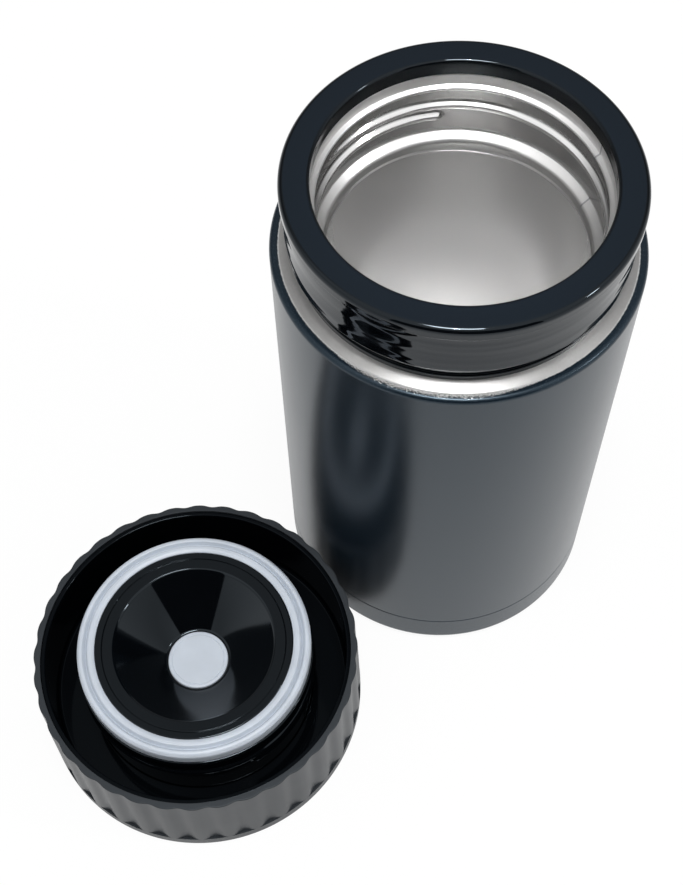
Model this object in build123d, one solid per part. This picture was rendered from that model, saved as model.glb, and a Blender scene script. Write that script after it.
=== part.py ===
from build123d import *

# Insulated food jar: a double-walled steel jar with a plastic mouth collar, and its screw stopper
# lid lying beside it, top face down. Millimetres, +Z up. The origin is on the jar's axis, at the
# height of the surface that it stands on.

import os
from math import cos, radians, sin, tan

# ---- driving dimensions: jar ----
body_radius = 42.5  # outside of the painted shell
body_height = 131.0  # up to the bare steel land that the collar stands on
shell_wall = 0.8
shoulder_round = 2.2
base_height = 12.0  # pressed base cup
base_round = 2.5
base_recess = 2.2
foot_ring_width = 4.6
foot_slope = 1.0
seal_dimple_radius = 5.0
seal_dimple_depth = 1.2
seal_height = 0.9
seal_round = 0.3
pump_hole_radius = 0.9
cover_thickness = 0.8

# ---- driving dimensions: steel neck and inner vessel ----
vessel_wall = 0.7
vacuum_gap = 4.2  # between the two walls
floor_gap = 5.3  # between the two floors
cavity_corner = 9.0
neck_setback = 7.3  # from the shell's outside to the neck's outside
neck_root_round = 1.0
neck_wall_gap = 1.1  # between the shell's neck and the vessel's bore wall
rim_depth = 4.2  # steel rim, below the collar's top
rim_round = 1.6
mouth_step = 0.3  # the bore is this much wider above the bead
bead_depth = 8.1  # rolled bead, below the collar's top
bead_rise = 0.7
bead_half_width = 1.05
ledge_depth = 22.1  # where the bore turns in to the sealing ledge
ledge_drop = 1.9
ledge_width = 1.7
lip_depth = 26.5  # narrowest ring of the neck
lip_width = 0.7
throat_drop = 7.0  # from the narrowest ring down to the full cavity
throat_round = 5.0
foil_thickness = 0.2
foil_margin = 12.0

# ---- driving dimensions: getter ----
getter_inset = 15.4  # from the base cover's edge to the getter's middle
getter_radius = 5.0
getter_height = 2.0
clip_wall = 0.5

# ---- driving dimensions: mouth collar ----
collar_height = 22.0
collar_setback = 3.0  # from the shell's outside to the collar's outside
collar_width = 6.8  # top face, inner to outer edge
collar_round = 1.2
collar_edge_round = 0.4
collar_lip_height = 3.2
collar_step = 0.6  # wall below the lip stands back by this
collar_outer_wall = 1.5
collar_inner_wall = 1.3
collar_crown = 3.4  # thickness of the top
collar_wall_gap = 6.1  # from the land up to the outer wall's lower edge
collar_foot_height = 1.6
collar_foot_width = 0.55  # past the inner wall
snap_height = 6.0
snap_width = 2.0
snap_depth = 0.5
seal_ring_thickness = 0.8
seal_ring_width = 1.7

# ---- driving dimensions: lid cap and liner ----
flute_count = 36
flute_depth = 1.1
skirt_wall = 1.3
cap_plate = 2.6
cap_round = 1.5
edge_band = 2.2  # plain ring below the flutes
flute_pocket = 0.9  # how far each flute dips into that ring
rim_edge_round = 0.3
finger_recess_radius = 15.0
finger_recess_depth = 1.0
liner_wall = 1.2
liner_floor = 2.0
liner_floor_height = 8.5  # channel floor above the cap's top face
liner_rim_setback = 0.6
channel_depth = 21.4  # from the skirt's rim to the channel floor
collar_clearance = 0.4  # between the liner and the collar

# ---- driving dimensions: stopper plug ----
plug_inset = 2.0  # from the neck's bore to the plug's wall
plug_wall = 1.8
plug_flange = 6.4
plug_flange_thickness = 2.0
plug_shoulder_width = 0.45
plug_shoulder_height = 1.0
plug_shoulder_round = 0.4
gasket_height = 4.8
gasket_overlap = 0.55  # past the neck's narrowest ring
gasket_width = 4.65
gasket_round = 1.2
gasket_edge_round = 0.5
gasket_groove_place = 1.75  # from the gasket's outer edge
gasket_groove_half = 0.15
gasket_groove_depth = 0.4
gasket_land_width = 2.7  # ring of the bottom cover under the gasket
gasket_land_thickness = 1.5

# ---- driving dimensions: plug bottom cover ----
cover_wall = 1.6
cover_ring_drop = 0.4  # flat ring, below the gasket's face
cover_ring_width = 1.7
cover_groove_width = 0.3
cover_bevel_width = 2.5
cover_bevel_drop = 1.2
dish_depth = 14.0
dish_bulge = 0.8  # of the bowl's curve past its chord

# ---- driving dimensions: release valve ----
valve_travel = 2.0
disc_radius = 8.05
disc_thickness = 1.9
disc_round = 0.5
disc_groove_place = 1.05
disc_socket_depth = 1.2
stem_radius = 2.4
button_radius = 8.7
button_face = 1.8
button_skirt_wall = 1.2
button_skirt_height = 2.2
button_boss_wall = 1.2
button_boss_height = 2.2
button_setback = 0.2  # below the finger recess
button_spare = 2.0  # left under the web when the button is pressed home
sleeve_wall = 1.2
sleeve_web = 1.4
sleeve_tube_radius = 7.0
vent_count = 4
vent_radius = 0.7
spring_radius = 5.6
spring_wire = 0.7
spring_pitch = 1.5

# ---- clearances ----
fit = 0.05  # between nested parts of one piece
seat_gap = 0.1  # under the valve disc
running_gap = 0.06  # radial, stem in its guide
moving_gap = 0.3  # radial, button in its bore
stand_off = 1.8  # between the lid and the jar at rest
lid_bearing = 219.3  # degrees about the jar, from +X

# ---- derived places: jar ----
collar_top = body_height + collar_height
collar_radius = body_radius - collar_setback
collar_opening = collar_radius - collar_width
neck_radius = body_radius - neck_setback
rim_height = collar_top - rim_depth
neck_bore = neck_radius - shell_wall - neck_wall_gap - vessel_wall
mouth_bore = neck_bore + mouth_step
cover_radius = body_radius - base_round - foot_ring_width - 2 * foot_slope
getter_place = cover_radius - getter_inset
cavity_radius = body_radius - shell_wall - vacuum_gap - vessel_wall
cavity_floor = base_recess + shell_wall + floor_gap + vessel_wall
lip_radius = neck_bore - ledge_width - lip_width
lip_height = collar_top - lip_depth

# ---- derived places: lid, measured up from its top face, which lies on the table ----
cap_bore = collar_radius + collar_clearance + liner_wall
cap_radius = cap_bore + skirt_wall + flute_depth
cap_height = liner_floor_height + channel_depth
plug_radius = neck_bore - plug_inset
plug_bore = plug_radius - plug_wall
gasket_face = liner_floor_height + lip_depth
gasket_seat = gasket_face - gasket_height
gasket_radius = lip_radius + gasket_overlap
gasket_bore = gasket_radius - gasket_width
ring_face = gasket_face - cover_ring_drop
bowl_radius = gasket_bore - fit - cover_ring_width - cover_groove_width - cover_bevel_width
bowl_rim = ring_face - cover_bevel_drop
dish_floor = gasket_face - dish_depth
dish_flat = disc_radius + disc_round
button_face_height = finger_recess_depth + button_setback
button_bore = button_radius + moving_gap
sleeve_radius = button_bore + sleeve_wall
button_face_high = button_face_height + button_face
button_skirt_high = button_face_high + button_skirt_height
web_low = button_skirt_high + valve_travel + button_spare
web_height = web_low + sleeve_web
lid_distance = body_radius + cap_radius + stand_off
lid_x = lid_distance * cos(radians(lid_bearing))
lid_y = lid_distance * sin(radians(lid_bearing))


def outline(*corners):
    """Closed face in (radius, height); a corner's third number rounds it off."""
    ends = []
    for i, (r, z, *rounding) in enumerate(corners):
        here = Vector(r, z)
        back = (Vector(*corners[i - 1][:2]) - here).normalized()
        on = (Vector(*corners[(i + 1) % len(corners)][:2]) - here).normalized()
        if not rounding:
            ends.append((here, here, here))
            continue
        half = radians(back.get_angle(on)) / 2
        cut = rounding[0] / tan(half)
        middle = (back + on).normalized() * (rounding[0] / sin(half) - rounding[0])
        ends.append((here + back * cut, here + middle, here + on * cut))
    edges = []
    for i, (start, middle, end) in enumerate(ends):
        if start != end:
            edges.append(ThreePointArc(start, middle, end))
        edges.append(Line(end, ends[(i + 1) % len(ends)][0]))
    return make_face(edges)


def turned(face):
    """Solid of revolution of a face in (radius, height)."""
    return revolve(Plane.XZ * face, Axis.Z)


def ring(inner, outer, low, high):
    """Plain ring with a rectangular section."""
    return turned(outline((inner, low), (outer, low), (outer, high), (inner, high)))


def band(radius, low, high):
    """Region in (radius, height) from the axis outwards, used to trim a section."""
    return outline((0, low), (radius, low), (radius, high), (0, high))


def around(count, place, shape):
    """Copies of a shape spaced evenly about the axis."""
    return [Rot(0, 0, 360 * i / count) * Pos(place, 0, 0) * shape for i in range(count)]


def at_lid(shape):
    """A lid piece, moved to where the lid lies."""
    return Pos(lid_x, lid_y, 0) * shape


# ---- jar: shell, base and vacuum parts ----
def outer_shell():
    """Painted steel side wall, shoulder and neck, one sheet thick."""
    run_out = 5 * shell_wall
    snap = body_height + snap_height
    form = outline(
        (-run_out, base_height - run_out),
        (body_radius, base_height - run_out),
        (body_radius, body_height, shoulder_round),
        (neck_radius, body_height, neck_root_round),
        (neck_radius, snap),
        (neck_radius - snap_depth, snap + snap_depth),
        (neck_radius - snap_depth, snap + snap_width - snap_depth),
        (neck_radius, snap + snap_width),
        (neck_radius, rim_height + run_out),
        (-run_out, rim_height + run_out),
    )
    sheet = form - offset(form, -shell_wall)
    return turned(sheet & band(body_radius, base_height, rim_height - vessel_wall))


def outer_base():
    """Base cup with a foot ring, a recessed floor and the dimple that the vacuum seal fills."""
    foot = body_radius - base_round - foot_ring_width
    run_out = 5 * shell_wall
    form = outline(
        (-run_out, base_recess + seal_dimple_depth),
        (seal_dimple_radius, base_recess + seal_dimple_depth),
        (seal_dimple_radius + seal_dimple_depth, base_recess),
        (foot - foot_slope, base_recess),
        (foot, 0),
        (body_radius, 0, base_round),
        (body_radius, base_height + run_out),
        (-run_out, base_height + run_out),
    )
    sheet = form - offset(form, -shell_wall)
    cup = turned(sheet & band(body_radius, 0, base_height))
    return cup - Cylinder(pump_hole_radius, 4 * base_height)


def vacuum_seal():
    """Sealing bead that closes the pump hole, set in the dimple."""
    top = base_recess + seal_dimple_depth
    radius = seal_dimple_radius - fit
    bead = outline((0, top - seal_height), (radius, top - seal_height, seal_round), (radius, top), (0, top))
    return turned(bead)


def base_cover():
    """Thin disc let into the base recess, over the seal."""
    low = base_recess - cover_thickness
    disc = outline((0, low), (cover_radius, low, 0.3), (cover_radius, base_recess), (0, base_recess))
    return turned(disc)


def getter_clip():
    """Pressed tray, spot welded to the base inside the vacuum."""
    low = base_recess + shell_wall
    high = low + clip_wall + getter_height / 2
    radius = getter_radius + fit + clip_wall
    tray = outline((0, low), (radius, low, clip_wall / 2), (radius, high),
                   (radius - clip_wall, high), (radius - clip_wall, low + clip_wall), (0, low + clip_wall))
    return Pos(getter_place, 0, 0) * turned(tray)


def getter():
    """Gas-absorbing pellet in its tray."""
    low = base_recess + shell_wall + clip_wall
    pellet = outline((0, low), (getter_radius, low), (getter_radius, low + getter_height, 0.3),
                     (0, low + getter_height))
    return Pos(getter_place, 0, 0) * turned(pellet)


def cavity():
    """Section of the space that the vessel holds, from its floor up past the rim."""
    bead = collar_top - bead_depth
    wall = collar_top - ledge_depth
    above = rim_height + 5 * vessel_wall
    return outline(
        (0, cavity_floor),
        (cavity_radius, cavity_floor, cavity_corner),
        (cavity_radius, lip_height - throat_drop, throat_round),
        (lip_radius, lip_height, 0.3),
        (neck_bore - ledge_width, wall - ledge_drop, 1.0),
        (neck_bore, wall, 1.0),
        (neck_bore, bead - bead_half_width, 0.4),
        (neck_bore - bead_rise, bead, 0.6),
        (mouth_bore, bead + bead_half_width, 0.25),
        (mouth_bore, rim_height, rim_round),
        (neck_radius + vessel_wall, rim_height),
        (neck_radius + vessel_wall, above),
        (0, above),
    )


def inner_vessel():
    """Food vessel with its necked mouth, rolled bead, sealing ledge and welded rim."""
    space = cavity()
    sheet = offset(space, vessel_wall) - space
    throat = lip_height - vessel_wall
    wide = band(cavity_radius + vessel_wall, cavity_floor - vessel_wall, throat)
    return turned(sheet & (wide + band(neck_radius, throat, rim_height)))


def foil_wrap():
    """Heat shield foil wound on the vessel's straight wall."""
    inner = cavity_radius + vessel_wall + fit
    return ring(inner, inner + foil_thickness, cavity_floor + foil_margin,
                lip_height - throat_drop - foil_margin)


# ---- jar: mouth collar ----
def mouth_collar():
    """Moulded collar that snaps over the neck: a lip, a crown, a hanging wall and an inner wall
    whose foot stands on the land."""
    land = body_height + fit
    lip_low = collar_top - collar_lip_height
    wall = collar_radius - collar_step
    wall_low = body_height + collar_wall_gap
    foot_top = body_height + collar_foot_height
    inner = neck_radius + fit
    hollow_out = wall - collar_outer_wall
    hollow_in = inner + collar_inner_wall
    crown = collar_top - collar_crown
    seal_top = rim_height + seal_ring_thickness
    seal_in = neck_radius - seal_ring_width - fit
    snap = body_height + snap_height
    rib = snap_depth - fit
    section = outline(
        (collar_opening, rim_height + fit),
        (collar_opening, collar_top, collar_edge_round),
        (collar_radius, collar_top, collar_round),
        (collar_radius, lip_low, 0.3),
        (wall, lip_low - collar_step / 2, 0.2),
        (wall, wall_low, 0.4),
        (hollow_out, wall_low, 0.3),
        (hollow_out, crown),
        (hollow_in, crown),
        (hollow_in, foot_top),
        (hollow_in + collar_foot_width, foot_top, 0.2),
        (hollow_in + collar_foot_width, land),
        (inner, land, neck_root_round + fit),
        (inner, snap + fit),
        (inner - rib, snap + snap_depth + fit),
        (inner - rib, snap + snap_width - snap_depth - fit),
        (inner, snap + snap_width - fit),
        (inner, seal_top),
        (seal_in, seal_top),
        (seal_in, rim_height + fit),
    )
    return turned(section)


def collar_seal():
    """Flat ring between the steel rim and the collar's crown."""
    low, high = rim_height, rim_height + seal_ring_thickness
    return ring(neck_radius - seal_ring_width, neck_radius, low, high)


# ---- lid: cap and liner ----
def fluted_prism():
    """Column with rounded flutes: arcs swing in and out of the mean radius, one pair each flute."""
    mean = cap_radius - flute_depth / 2
    step = 360 / flute_count / 2
    edges = []
    for i in range(2 * flute_count):
        swing = flute_depth / 2 if i % 2 == 0 else -flute_depth / 2
        points = [(mean, -0.5), (mean + swing, 0), (mean, 0.5)]
        turns = [(r, radians((i + share) * step)) for r, share in points]
        edges.append(ThreePointArc(*[(r * cos(a), r * sin(a)) for r, a in turns]))
    return extrude(make_face(edges), cap_height)


def flute_zone():
    """Region above the plain ring's upper side, which slopes down inwards into each flute."""
    valley = cap_radius - flute_depth
    past = cap_radius + flute_depth
    return turned(outline((valley, edge_band - flute_pocket), (past, edge_band + flute_pocket),
                          (past, 2 * cap_height), (valley, 2 * cap_height)))


def lid_cap():
    """Fluted grip skirt over a plain ring, and top plate with the finger recess and the button's
    hole."""
    limits = turned(outline((0, 0), (cap_radius, 0, cap_round),
                            (cap_radius, cap_height, rim_edge_round), (0, cap_height)))
    bore = ring(0, cap_bore, cap_plate, 2 * cap_height)
    recess = turned(outline((0, -1), (finger_recess_radius, -1), (finger_recess_radius, 0),
                            (finger_recess_radius - finger_recess_depth, finger_recess_depth),
                            (0, finger_recess_depth)))
    hole = ring(0, button_bore, -1, 2 * cap_plate)
    return at_lid(limits - (flute_zone() - fluted_prism()) - bore - recess - hole)


def lid_liner():
    """Glossy inner wall and channel floor, into which the collar fits."""
    outer = cap_bore - fit
    inner = cap_bore - liner_wall
    hole = plug_radius + fit
    low = liner_floor_height - liner_floor
    top = cap_height - liner_rim_setback
    section = outline((hole, low), (outer, low), (outer, top), (inner, top, 0.4),
                      (inner, liner_floor_height, 0.8), (hole, liner_floor_height))
    return at_lid(turned(section))


# ---- lid: stopper plug ----
def plug_body():
    """Plug wall with its mounting flange and the shoulder under the gasket."""
    flange_high = liner_floor_height - liner_floor
    flange_low = flange_high - plug_flange_thickness
    flange = plug_radius + plug_flange
    shoulder = gasket_radius + plug_shoulder_width
    shoulder_low = gasket_seat - plug_shoulder_height
    section = outline(
        (plug_bore, cap_plate),
        (plug_radius, cap_plate),
        (plug_radius, flange_low),
        (flange, flange_low),
        (flange, flange_high),
        (plug_radius, flange_high),
        (plug_radius, shoulder_low),
        (shoulder, shoulder_low, plug_shoulder_round),
        (shoulder, gasket_seat, plug_shoulder_round),
        (plug_bore, gasket_seat),
    )
    return at_lid(turned(section))


def bowl_curve(shift):
    """Bowl section from its rim to its flat floor; shift grows it outwards and down."""
    rim = Vector(bowl_radius + shift, bowl_rim)
    floor = Vector(dish_flat, dish_floor - shift)
    chord = rim - floor
    bulge = Vector(chord.Y, -chord.X).normalized() * dish_bulge
    return ThreePointArc(rim, (rim + floor) * 0.5 + bulge, floor)


def plug_dish():
    """Bottom cover of the plug: gasket land, flat ring, fine groove, bevel and bowl."""
    outer = gasket_bore - fit
    ring_in = outer - cover_ring_width
    land_out = outer + gasket_land_width
    land_low = gasket_seat - gasket_land_thickness
    half_groove = cover_groove_width / 2
    top, under = bowl_curve(0), bowl_curve(cover_wall)
    hub = stem_radius + moving_gap
    edges = [
        Polyline(
            (hub, dish_floor), (dish_flat, dish_floor),
        ),
        top,
        Polyline(
            (bowl_radius, bowl_rim),
            (ring_in - cover_groove_width, ring_face - half_groove),
            (ring_in - half_groove, ring_face - cover_groove_width),
            (ring_in, ring_face),
            (outer, ring_face),
            (outer, gasket_seat),
            (land_out, gasket_seat),
            (land_out, land_low),
            (bowl_radius + cover_wall, land_low),
            (bowl_radius + cover_wall, bowl_rim),
        ),
        under,
        Polyline(
            (dish_flat, dish_floor - cover_wall), (hub, dish_floor - cover_wall), (hub, dish_floor),
        ),
    ]
    return at_lid(turned(make_face(edges)) - vents(dish_floor))


def vents(height):
    """Vent holes through a wall near the given height, inside the valve disc's seat."""
    place = (stem_radius + disc_radius) / 2
    return around(vent_count, place, Pos(0, 0, height) * Cylinder(vent_radius, 4 * cover_wall))


def plug_gasket():
    """Silicone ring with two bands parted by a fine groove."""
    groove = gasket_radius - gasket_groove_place
    section = outline(
        (gasket_bore, gasket_seat),
        (gasket_radius, gasket_seat, gasket_edge_round),
        (gasket_radius, gasket_face, gasket_round),
        (groove + gasket_groove_half, gasket_face),
        (groove, gasket_face - gasket_groove_depth),
        (groove - gasket_groove_half, gasket_face),
        (gasket_bore, gasket_face, gasket_edge_round),
    )
    return at_lid(turned(section))


def plug_foam():
    """Insulating filling between the cap's plate and the bottom cover."""
    low, high = cap_plate, gasket_seat - gasket_land_thickness
    block = ring(sleeve_radius + fit, plug_bore - fit, low, high)
    neck = ring(sleeve_tube_radius + fit, sleeve_radius + 1, web_height + fit, dish_floor - cover_wall)
    reach = cover_wall + fit
    room = turned(make_face([
        bowl_curve(reach),
        Line((dish_flat, dish_floor - reach), (0, dish_floor - reach)),
        Line((0, dish_floor - reach), (0, bowl_rim)),
        Line((0, bowl_rim), (bowl_radius + reach, bowl_rim)),
    ]))
    return at_lid(block + neck - room)


# ---- lid: release valve ----
def valve_sleeve():
    """Guide for the button and the stem, with vents through its web."""
    tube_in = sleeve_tube_radius - sleeve_wall
    guide = stem_radius + running_gap
    section = outline(
        (button_bore, cap_plate),
        (sleeve_radius, cap_plate),
        (sleeve_radius, web_height),
        (sleeve_tube_radius, web_height),
        (sleeve_tube_radius, dish_floor - cover_wall),
        (tube_in, dish_floor - cover_wall),
        (tube_in, web_height),
        (guide, web_height),
        (guide, web_low),
        (button_bore, web_low),
    )
    place = (guide + tube_in) / 2
    holes = around(vent_count, place, Pos(0, 0, web_height) * Cylinder(vent_radius, 4 * sleeve_web))
    return at_lid(turned(section) - holes)


def valve_button():
    """Push button in the lid's top face, with a skirt and a socket for the stem."""
    low, face = button_face_height, button_face_high
    boss = stem_radius + button_boss_wall
    section = outline(
        (0, low),
        (button_radius, low, 0.5),
        (button_radius, button_skirt_high),
        (button_radius - button_skirt_wall, button_skirt_high),
        (button_radius - button_skirt_wall, face),
        (boss, face),
        (boss, face + button_boss_height),
        (stem_radius, face + button_boss_height),
        (stem_radius, face),
        (0, face),
    )
    return at_lid(turned(section))


def valve_stem():
    """Rod from the button's socket to the valve disc."""
    high = dish_floor + seat_gap + disc_socket_depth
    return at_lid(ring(0, stem_radius, button_face_high, high))


def valve_disc():
    """Silicone disc over the vents, with a fine ring near its edge."""
    low = dish_floor + seat_gap
    high = low + disc_thickness
    groove = disc_radius - disc_groove_place
    section = outline(
        (stem_radius, low),
        (disc_radius, low),
        (disc_radius, high, disc_round),
        (groove + gasket_groove_half, high),
        (groove, high - gasket_groove_half),
        (groove - gasket_groove_half, high),
        (0, high),
        (0, low + disc_socket_depth),
        (stem_radius, low + disc_socket_depth),
    )
    return at_lid(turned(section))


def valve_spring():
    """Coil between the button's face and the sleeve's web."""
    low = button_face_high + spring_wire / 2
    high = web_low - spring_wire / 2
    path = Pos(0, 0, low) * Helix(spring_pitch, high - low, spring_radius)
    coil = sweep(Plane(path @ 0, z_dir=path % 0) * Circle(spring_wire / 2), path=path)
    return at_lid(coil)


pieces = [
    outer_shell, outer_base, vacuum_seal, base_cover, getter_clip, getter, inner_vessel, foil_wrap,
    mouth_collar, collar_seal, lid_cap, lid_liner, plug_body, plug_dish, plug_gasket, plug_foam,
    valve_sleeve, valve_button, valve_stem, valve_disc, valve_spring,
]

os.makedirs("parts", exist_ok=True)
for piece in pieces:
    export_step(piece(), f"parts/{piece.__name__}.step")
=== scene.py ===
"""Insulated food jar with its screw stopper lid lying beside it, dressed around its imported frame.

Every piece is a surface worked out with numpy: a section in (radius, height) is carried round an
axis, and flutes and threads are formulas on that grid. The spring is a wire along a helix.
Sections are in millimetres, and the meshes in metres in the frame's own place.
"""

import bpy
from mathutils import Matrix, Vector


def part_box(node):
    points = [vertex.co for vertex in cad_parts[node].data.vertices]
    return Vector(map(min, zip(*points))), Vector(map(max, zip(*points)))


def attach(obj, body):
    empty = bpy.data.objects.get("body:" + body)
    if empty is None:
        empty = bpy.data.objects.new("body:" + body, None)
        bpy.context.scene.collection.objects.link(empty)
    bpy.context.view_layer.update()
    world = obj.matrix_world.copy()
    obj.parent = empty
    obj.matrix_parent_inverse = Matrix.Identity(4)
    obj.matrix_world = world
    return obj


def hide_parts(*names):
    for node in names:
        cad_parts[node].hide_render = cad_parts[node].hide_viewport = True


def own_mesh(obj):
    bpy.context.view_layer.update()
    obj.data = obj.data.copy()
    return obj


bl_info = {
    "name": "Insulated Food Jar",
    "version": (1, 0, 0),
    "blender": (4, 5, 0),
    "location": "3D View > Sidebar > Food Jar",
    "description": "Builds an insulated food jar, its lid and a plain studio around them",
    "category": "Add Mesh",
}

from math import cos, pi, radians, sin

import bmesh
import bpy
import numpy as np
from mathutils import Matrix, Vector

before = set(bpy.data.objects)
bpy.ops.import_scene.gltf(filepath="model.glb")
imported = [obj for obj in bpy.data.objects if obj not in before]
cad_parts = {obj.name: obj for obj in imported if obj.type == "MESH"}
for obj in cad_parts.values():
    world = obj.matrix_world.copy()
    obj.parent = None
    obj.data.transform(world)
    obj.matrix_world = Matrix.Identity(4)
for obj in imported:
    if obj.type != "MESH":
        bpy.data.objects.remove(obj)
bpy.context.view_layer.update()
MM = 0.001
TURN = 2 * pi


def node_box(node):
    """Lowest and highest corner of a node, in millimetres."""
    low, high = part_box(node)
    return np.array(low) / MM, np.array(high) / MM


def top_of(node):
    """Height of a node's highest point, in millimetres."""
    return float(node_box(node)[1][2])


def reach_of(node):
    """Half of a node's width, in millimetres."""
    low, high = node_box(node)
    return float(high[0] - low[0]) / 2


# ---- places read from the frame, in millimetres ----
JAR_AXIS = (0.0, 0.0)
LID_AXIS = tuple(float(v) for v in sum(node_box("plug_gasket"))[:2] / 2)
COLLAR_TOP = top_of("mouth_collar")
RIM_HEIGHT = top_of("inner_vessel")
CAP_HEIGHT = top_of("lid_cap")
GASKET_FACE = top_of("plug_gasket")
GASKET_SEAT = float(node_box("plug_gasket")[0][2])
DISC_FACE = top_of("valve_disc")

# ---- sizes, in millimetres: shell and base ----
SHELL_WALL = 0.8
BODY_HEIGHT = 131.0
SHOULDER_ROUND = 2.2
COAT_RADIUS = 40.5  # where the coat ends on the shoulder
LAND_RADIUS = COAT_RADIUS - 0.2
LAND_RISE = 0.4
NECK_RADIUS = 35.2
BASE_HEIGHT = 12.0
SEAM_DEPTH = 0.15
SEAM_RISE = 0.25
FOOT_WIDTH = 7.1
FOOT_ROUND = 2.5
RECESS = 2.2
DIMPLE_RADIUS = 5.0
DIMPLE_RISE = 1.2
PUMP_HOLE = 0.9

# ---- vessel ----
VESSEL_WALL = 0.7
CAVITY_RADIUS = 36.8
CAVITY_FLOOR = 9.0
FLOOR_ROUND = 16.0
NECK_BORE = 32.6
MOUTH_BORE = 32.9
BEAD_HEIGHT = COLLAR_TOP - 8.1
BEAD_DEPTH = 1.2
NECK_TOP = BEAD_HEIGHT - 1.2
NECK_FOOT = COLLAR_TOP - 22.1
LIP_RADIUS = 30.2
LIP_HEIGHT = COLLAR_TOP - 26.5
LIP_EDGE = LIP_HEIGHT - 0.6  # the cavity's satin starts below it
CAVITY_TOP = LIP_HEIGHT - 7.0
WELD_BEARING = 19.5  # degrees about the jar's axis

# ---- collar ----
COLLAR_OPENING = 32.7
COLLAR_INSET = 3.0  # from the body's side
COLLAR_WALL = 1.5
SLEEVE_WALL = 1.3

# ---- lid ----
CAP_BORE = 41.1
CAP_PLATE = 2.6
CAP_DRAFT = 0.6
FLUTE_COUNT = 36
FLUTE_POINTS = 20
FLUTE_DEPTH = 0.75
FLUTE_RIM_DEPTH = 0.5
FLUTE_POWER = 1.5
BAND_HEIGHT = 4.0
POCKET_DEPTH = 0.15
BUTTON_BORE = 9.0
FINGER_RADIUS = 15.0
FINGER_DEPTH = 1.0
CHANNEL_FLOOR = 8.5
CHANNEL_BACK = CHANNEL_FLOOR - 2.0
LINER_WALL = 1.2
PLUG_RADIUS = 30.6
PLUG_BORE = 28.8
FLANGE_WIDTH = 6.4
FLANGE_WALL = 2.0
GASKET_RADIUS = LIP_RADIUS + 0.55
GASKET_BORE = GASKET_RADIUS - 4.65
GROOVE_HALF_WIDTH = 0.7
GROOVE_DEPTH = 1.2
DISH_FLOOR = GASKET_FACE - 14.0
DISH_WALL = 1.6
BOWL_BULGE = 0.25
DISC_RADIUS = 8.05
DISC_WALL = 1.9
SPRING_WIRE = 0.7
SPRING_PITCH = 1.5

# ---- threads: bearing in degrees, low and half width in millimetres ----
THREAD_LEAD = 3.5
NECK_THREAD = {
    "bearing": 95.5, "low": 135.85, "turns": 1.16, "half_width": 1.3, "flat": 0.25, "fade": 0.1}
NECK_THREAD_RISE = 1.15
PLUG_THREAD = {
    "bearing": 300.0, "low": CHANNEL_FLOOR + 11.0, "turns": 1.15, "half_width": 1.2, "flat": 0.3,
    "fade": 0.02}
PLUG_THREAD_RISE = 0.9

GAP = 0.05  # between pieces that fit into each other
SPLIT = 0.1  # between the two ends of a closed section, on one of its sides
SHARP = radians(40)  # edges that turn by more are sharp
MERGE = 1e-7  # in metres


# ---- sections ----
def bent(corners, edge=0.08, steps=7, near=0.15):
    """Open path through (radius, height[, rounding]) corners, rounded by edge where none is given.

    Each inner corner is an arc that touches both of its sides: from one touching point to the
    other, at equal steps of angle. It takes up less than half of either side. Each straight side
    gets a point close to either end, so that its shading stays flat.
    """
    rows = [(*corner, edge)[:3] for corner in corners]
    points = [np.array(rows[0][:2], float)[None]]
    for before, here, after in zip(rows, rows[1:], rows[2:]):
        corner = np.array(here[:2], float)
        back = np.array(before[:2]) - corner
        on = np.array(after[:2]) - corner
        room = min(np.linalg.norm(back), np.linalg.norm(on)) * 0.49
        back, on = back / np.linalg.norm(back), on / np.linalg.norm(on)
        half = np.arccos(np.clip(back @ on, -1, 1)) / 2
        if half > radians(89.5):
            points.append(corner[None])
            continue
        rounding = min(here[2], room * np.tan(half))
        middle = (back + on) / np.linalg.norm(back + on)
        centre = corner + middle * rounding / np.sin(half)
        start = corner + back * rounding / np.tan(half) - centre
        end = corner + on * rounding / np.tan(half) - centre
        sweep = pi - 2 * half
        share = np.linspace(0, 1, steps)[:, None]
        arc = np.sin((1 - share) * sweep) * start + np.sin(share * sweep) * end
        points.append(centre + arc / np.sin(sweep))
    points.append(np.array(rows[-1][:2], float)[None])
    return with_supports(np.concatenate(points), near)


def with_supports(points, near):
    """The path with a point this near to both ends of each side that is long enough for it."""
    step = np.diff(points, axis=0)
    length = np.linalg.norm(step, axis=1)
    long = length > 3 * near
    unit = step[long] / length[long][:, None]
    at = np.flatnonzero(long)
    extra = np.concatenate([points[at] + unit * near, points[at + 1] - unit * near])
    return np.insert(points, np.concatenate([at + 1, at + 1]), extra, axis=0)


def bow(start, end, bulge, steps=40):
    """Arc from start to end whose middle stands this far to the right of the chord.

    A bulge below zero stands to the left. The circle's radius is (c*c + b*b) / 2b for half a
    chord c and a bulge b.
    """
    start, end = np.array(start, float), np.array(end, float)
    chord = end - start
    half = np.linalg.norm(chord) / 2
    along = chord / (2 * half)
    side = np.array([along[1], -along[0]])
    radius = (half * half + bulge * bulge) / (2 * bulge)
    centre = (start + end) / 2 + side * (bulge - radius)
    reach = np.arcsin(half / radius)
    angle = np.linspace(-reach, reach, steps)[:, None]
    return centre + radius * (np.sin(angle) * along + np.cos(angle) * side)


def refined(points, low, high, step):
    """The path with extra points along it, this far apart, wherever its height is in the band."""
    sides = np.linalg.norm(np.diff(points, axis=0), axis=1)
    length = np.concatenate([[0], np.cumsum(sides)])
    extra = np.arange(0, length[-1], step)
    height = np.interp(extra, length, points[:, 1])
    extra = extra[(height > low) & (height < high)]
    every = np.unique(np.concatenate([length, extra]))
    return np.stack([np.interp(every, length, points[:, k]) for k in (0, 1)], axis=1)


# ---- objects and meshes ----
def added(name, data):
    """New object in the scene."""
    holder = bpy.data.objects.new(name, data)
    bpy.context.scene.collection.objects.link(holder)
    return holder


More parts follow.
